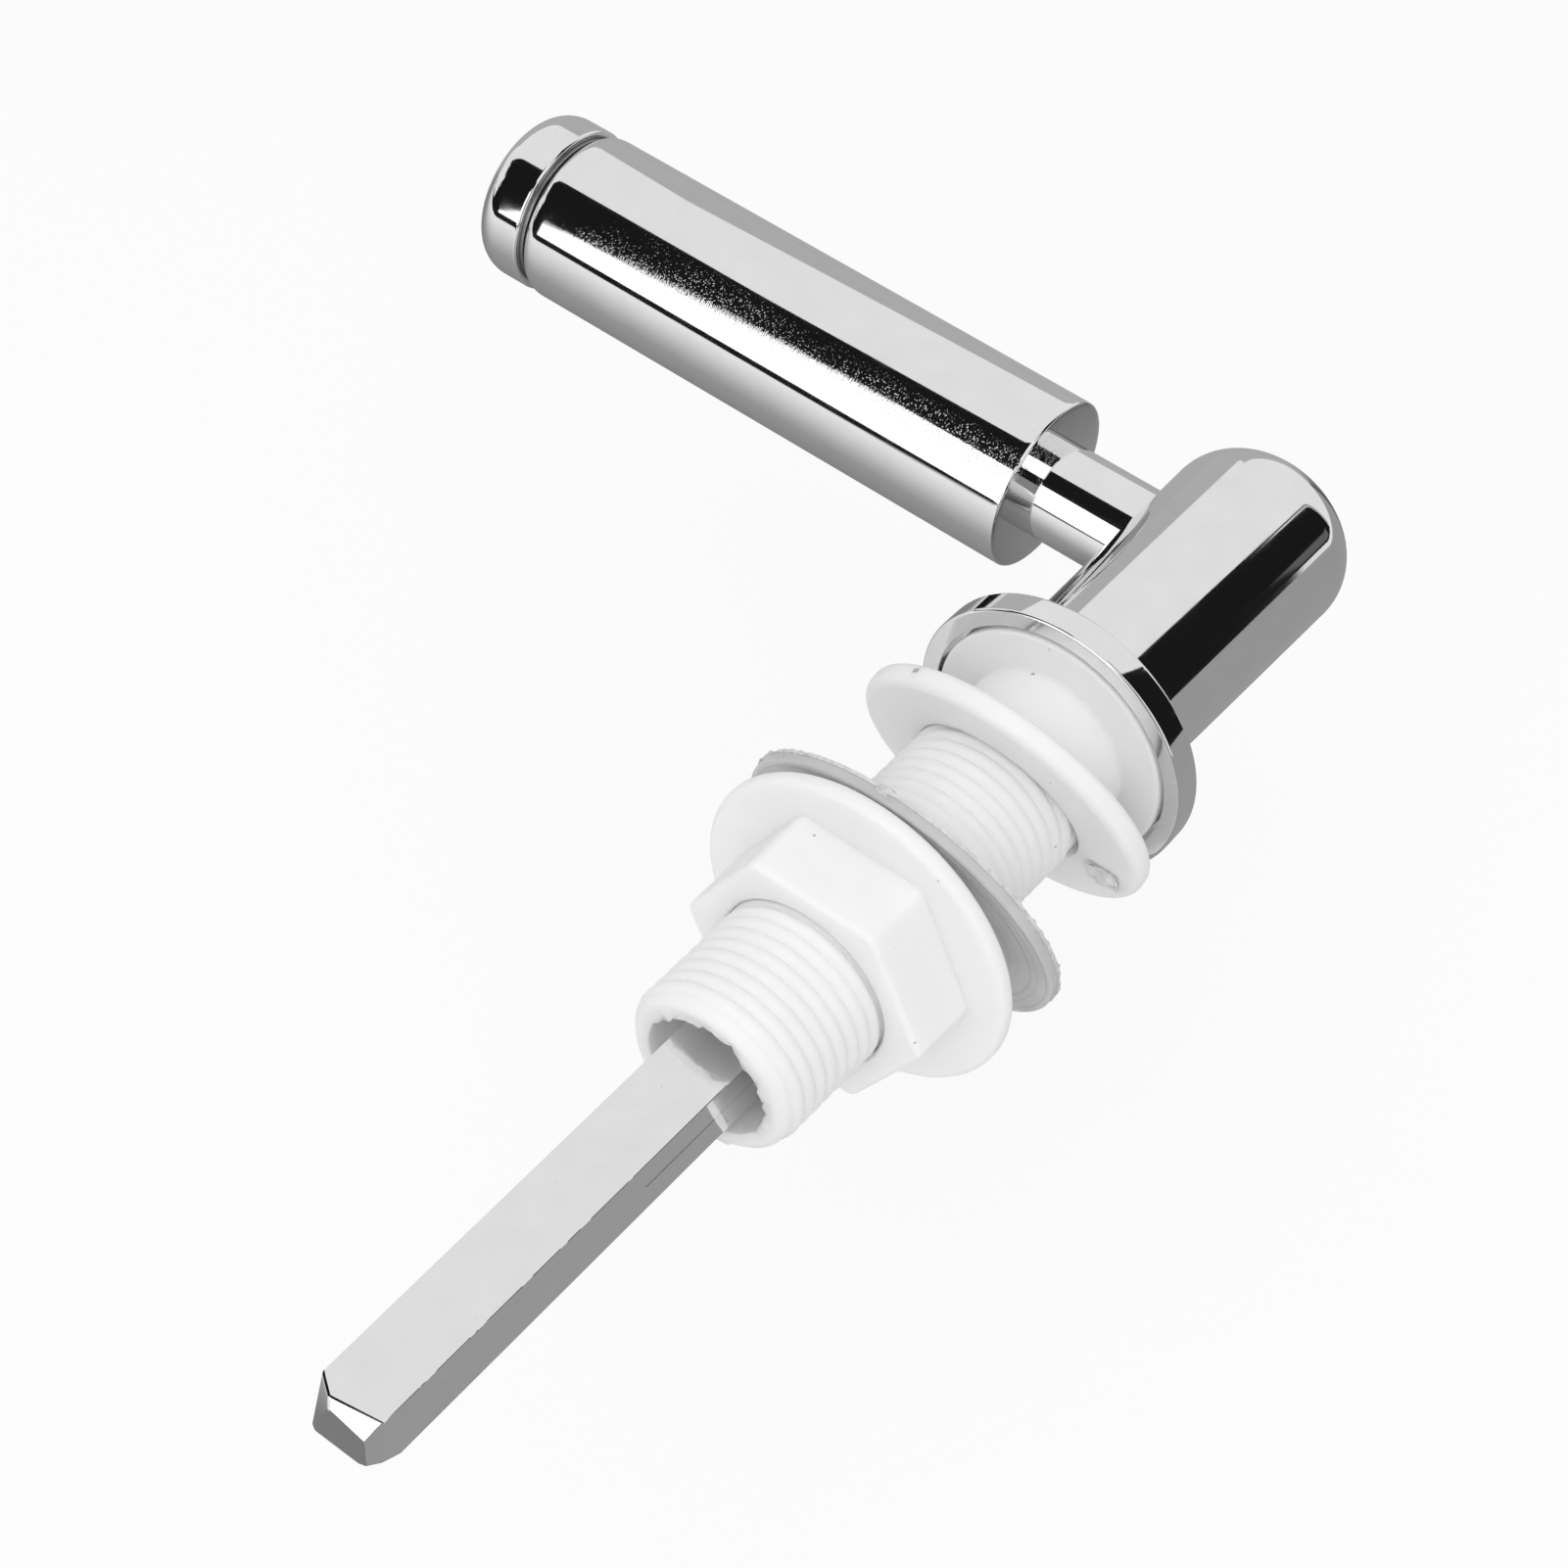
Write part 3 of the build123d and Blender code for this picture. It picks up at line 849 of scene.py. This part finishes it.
class LEVER_OT_nut(Operator):
    """Back nut: round flange with a soft-edged hexagon, bored through"""
    bl_idname = "lever.nut"
    bl_label = "Back nut"

    def execute(self, context):
        size = context.scene.lever_nut
        start, end = reach("back_nut", 1, 0), reach("back_nut", 1, 1)
        face = start + size.flange_thickness
        radius = half_size("back_nut", 0)
        nut = turned_about_y("back_nut_moulding", [
            (start, 0, 0), (start, radius, size.flange_round), (face, radius, size.flange_round),
            (face, 0, 0)])
        clear, chamfer = 0.3 * MM, 0.35 * MM
        cutter = turned_about_y("bore_cutter", [
            (start - MM, 0, 0), (start - MM, size.bore, 0), (end - chamfer, size.bore, 0),
            (end + clear, size.bore + chamfer + clear, 0), (end + clear, 0, 0)])
        combine(nut, (self.hexagon(size, face, end), "UNION"), (cutter, "DIFFERENCE"))
        smooth(nut, 35)
        finish(nut, "nut_body", "white_plastic", white_moulded_plastic(), "back_nut")
        return {"FINISHED"}

    def hexagon(self, size, face, end):
        """The hexagon, sunk a little into the flange."""
        sunk = 0.5 * MM
        middle = (end + face) / 2 - sunk / 2
        tidy_selection()
        bpy.ops.mesh.primitive_cylinder_add(vertices=6, radius=size.across_flats / math.sqrt(3),
                                            depth=end - face + sunk, location=(0, middle, 0),
                                            rotation=(math.pi / 2, 0, 0))
        hexagon = added("hexagon")
        edit(hexagon)
        bpy.ops.mesh.select_all(action="SELECT")
        bpy.ops.transform.rotate(value=math.pi / 6, orient_axis="Y", center_override=ORIGIN)
        pick(hexagon, lambda co: abs(co.y - middle) < NEAR, "EDGE")
        bpy.ops.mesh.bevel(offset=size.corner, segments=5, affect="EDGES", clamp_overlap=False)
        pick(hexagon, lambda co: co.y > end - NEAR, "EDGE")
        bpy.ops.mesh.bevel(offset=size.edge, segments=5, affect="EDGES", clamp_overlap=False)
        bpy.ops.object.mode_set(mode="OBJECT")
        return hexagon


def metal_only(piece):
    """Leaves a shape to be seen in reflections alone."""
    for ray in ("camera", "diffuse", "shadow", "transmission"):
        setattr(piece, "visible_" + ray, False)


def card(name, corners, strength):
    """A flat reflector or flag of the studio, drawn corner by corner and seen by the metal alone."""
    piece = outline(name, [(corner, 0) for corner in [*corners, corners[0]]])
    bpy.ops.mesh.select_all(action="SELECT")
    bpy.ops.mesh.edge_face_add()
    bpy.ops.object.mode_set(mode="OBJECT")
    nodes = Nodes(name)
    piece.data.materials.append(nodes.surface(nodes.glow(grey(1), strength)))
    metal_only(piece)


def upright(along, *places):
    """Corners of a card across the spindle's line, from pairs of X and Z."""
    return [(x, along, z) for x, z in places]


def overhead(*places):
    """Corners of a card above the lever, from pairs of X and Y."""
    return [(x, y, ROOF) for x, y in places]


class LEVER_OT_stage(Operator):
    """Camera, pale floor, lamps and the reflectors that the chrome shows"""
    bl_idname = "lever.stage"
    bl_label = "Stage"

    def execute(self, context):
        stage = context.scene.lever_stage
        self.camera(context, stage)
        self.floor(stage)
        self.table(stage)
        self.world(context, stage)
        self.lamps()
        self.cards()
        context.scene.view_settings.view_transform = "Standard"
        return {"FINISHED"}

    def camera(self, context, stage):
        tidy_selection()
        bpy.ops.object.camera_add(location=stage.camera_place, rotation=stage.camera_turn)
        camera = context.object
        camera.name = "camera"
        camera.data.sensor_width = SENSOR_WIDTH
        camera.data.lens = stage.lens
        camera.data.clip_start, camera.data.clip_end = 0.01, 20
        context.scene.camera = camera

    def plane(self, name, level):
        tidy_selection()
        bpy.ops.mesh.primitive_plane_add(size=STAGE_SPAN, location=(0, 0, level))
        plane = bpy.context.object
        plane.name = name
        return plane

    def floor(self, stage):
        """Pale floor, low enough for the lever to swing down."""
        floor = self.plane("floor", stage.floor_level)
        nodes = Nodes("pale_floor")
        rays = nodes.add("ShaderNodeLightPath").outputs
        in_metal = nodes.glow(tuple(stage.floor_deep))
        lit = nodes.add("ShaderNodeBsdfDiffuse", {"Color": tuple(stage.floor_colour)})
        pale = nodes.glow(grey(1))
        through = nodes.maths("MAXIMUM", rays["Is Camera Ray"], rays["Is Transmission Ray"])
        seen = nodes.blend(nodes.times(through, stage.floor_lift), lit, pale)
        floor.data.materials.append(nodes.surface(nodes.blend(rays["Is Glossy Ray"], seen, in_metal)))

    def table(self, stage):
        """The table top as the metal shows it, glowing with painted light and shade: deep, lighter in front
        of the grip towards the white box, darker in painted shadows under the lever and by the tip, and dark
        past its far corner.
        """
        table = self.plane("table_in_metal", CAD_BOX[0].z)
        nodes = Nodes("table_in_metal")
        place = nodes.place()
        ramp = nodes.add("ShaderNodeValToRGB", {"Fac": nodes.between(place["Y"], *TABLE_REACH)})
        self.stops(ramp.color_ramp, TABLE_TONES)
        # painted shadow of the lever on the table under it: grey 0.1 close to the spindle's line, gone by X
        # 0.024; beyond X -0.010 the table takes the floor's deep tone
        tone = nodes.tint(nodes.between(place["X"], 0.002, 0.024), grey(0.1), ramp.outputs["Color"])
        tone = nodes.tint(nodes.between(place["X"], -0.010, -0.002), tuple(stage.floor_deep), tone)
        # painted shade on the table beside the spindle's tip, grey 0.22
        painted_shade_by_tip = nodes.times(nodes.between(place["Y"], 0.095, 0.105),
                             nodes.band(place["X"], -0.010, -0.002, 0.02, 0.04))
        tone = nodes.tint(painted_shade_by_tip, tone, grey(0.22))
        far_corner = nodes.times(nodes.between(place["Y"], 0.105, 0.115),
                                 nodes.between(place["X"], 0.078, 0.118))
        tone = nodes.tint(far_corner, tone, grey(DARK))
        table.data.materials.append(nodes.surface(nodes.glow(tone)))
        metal_only(table)

    def stops(self, ramp, tones):
        """Fills a ramp from pairs of place and grey."""
        while len(ramp.elements) < len(tones):
            ramp.elements.new(1.0)
        for stop, (place, tone) in zip(ramp.elements, tones):
            stop.position = place
            stop.color = grey(tone)

    def world(self, context, stage):
        """Pale air all round, plain white to the camera."""
        nodes = Nodes("studio_air", world=True)
        rays = nodes.add("ShaderNodeLightPath").outputs
        shade = nodes.tint(rays["Is Glossy Ray"], grey(stage.air), grey(stage.air_in_metal))
        for ray in ("Is Transmission Ray", "Is Camera Ray"):
            shade = nodes.tint(rays[ray], shade, grey(1))
        light = nodes.add("ShaderNodeBackground", {"Color": shade, "Strength": 1.0})
        nodes.add("ShaderNodeOutputWorld", {"Surface": light.outputs[0]})
        context.scene.world = nodes.block

    def lamps(self):
        for name, place, size, power in LAMPS:
            tidy_selection()
            bpy.ops.object.light_add(type="AREA", location=place)
            lamp = bpy.context.object
            lamp.name = name
            lamp.data.size = size
            lamp.data.energy = power
            aim = Vector(LAMP_AIM) - Vector(place)
            lamp.rotation_euler = aim.to_track_quat("-Z", "Y").to_euler()
            lamp.visible_glossy = False
            lamp.visible_camera = False

    def cards(self):
        """The white box before the grip, the dark gaps round it and the wall, as the chrome shows them."""
        low = CAD_BOX[0].z
        card("white_box", upright(
            FRONT, (-0.085, -0.009), (0.289, -0.009), (0.283, 0.03), (0.281, 0.10), (0.279, 0.128),
            (0.266, 0.150), (0.251, 0.232), (0.230, 0.29), (0.205, 0.37), (-0.085, 0.37)), 1.6)
        card("front_side", upright(FRONT, (-0.5, low), (-0.085, low), (-0.085, 0.25), (-0.5, 0.25)), 0.28)
        card("neck_window", overhead((-0.14, -0.02), (-0.07, -0.02), (-0.07, 0.18), (-0.14, 0.18)), 1.5)
        card("neck_gap", overhead((-0.14, -0.19), (-0.07, -0.19), (-0.07, -0.02), (-0.14, -0.02)), DARK)
        card("gap_behind", upright(BEHIND, (-0.5, low), (0.7, low), (0.7, 0.6), (-0.5, 0.6)), DARK)
        card("gap_above", overhead((0.08, 0.006), (0.144, 0.023), (0.18, 0.036), (0.21, 0.051),
                                   (0.7, 0.051), (0.7, BEHIND), (0.08, BEHIND)), DARK)
        card("gap_edge", upright(BACK, (-0.200, 0.05), (-0.200, 0.9), (-0.209, 0.9), (-0.209, 0.05)), DARK)
        card("gap_beside", upright(
            BACK, (-0.209, 0.312), (-0.217, 0.312), (-0.217, 0.04), (-0.37, 0.04), (-0.372, 0.004),
            (-0.9, 0.004), (-0.9, 0.9), (-0.209, 0.9)), DARK)
        card("streak", upright(BACK + 2 * MM, (-0.30, 0.055), (-0.365, 0.055), (-0.365, 0.110),
                               (-0.30, 0.110)), 0.12)
        card("wall", upright(BACK, (0.04, low), (0.143, 0.084), (0.271, 0.228), (0.284, 0.186),
                             (0.37, 0.192), (1.2, 0.3), (1.2, low)), 0.46)


SIZES = (("lever_sizes", LeverSizes), ("lever_spindle", SpindleSizes), ("lever_bush", BushSizes),
         ("lever_washers", WasherSizes), ("lever_nut", NutSizes), ("lever_finishes", Finishes),
         ("lever_stage", StageSettings))
STEPS = (LEVER_OT_hub, LEVER_OT_grip, LEVER_OT_spindle, LEVER_OT_bush, LEVER_OT_washers, LEVER_OT_nut,
         LEVER_OT_stage)


class LEVER_PT_sidebar(Panel):
    """Lists the pieces of the cistern lever"""
    bl_idname = "LEVER_PT_sidebar"
    bl_label = "Cistern lever"
    bl_space_type = "VIEW_3D"
    bl_region_type = "UI"
    bl_category = "Cistern lever"

    def draw(self, context):
        for step in STEPS:
            self.layout.operator(step.bl_idname)


def register():
    for name, group in SIZES:
        bpy.utils.register_class(group)
        setattr(bpy.types.Scene, name, PointerProperty(type=group))
    for step in (*STEPS, LEVER_PT_sidebar):
        bpy.utils.register_class(step)


def unregister():
    for step in reversed((*STEPS, LEVER_PT_sidebar)):
        bpy.utils.unregister_class(step)
    for name, group in reversed(SIZES):
        delattr(bpy.types.Scene, name)
        bpy.utils.unregister_class(group)


def main():
    register()
    for step in STEPS:
        family, name = step.bl_idname.split(".")
        getattr(getattr(bpy.ops, family), name)()


if __name__ == "__main__":
    main()
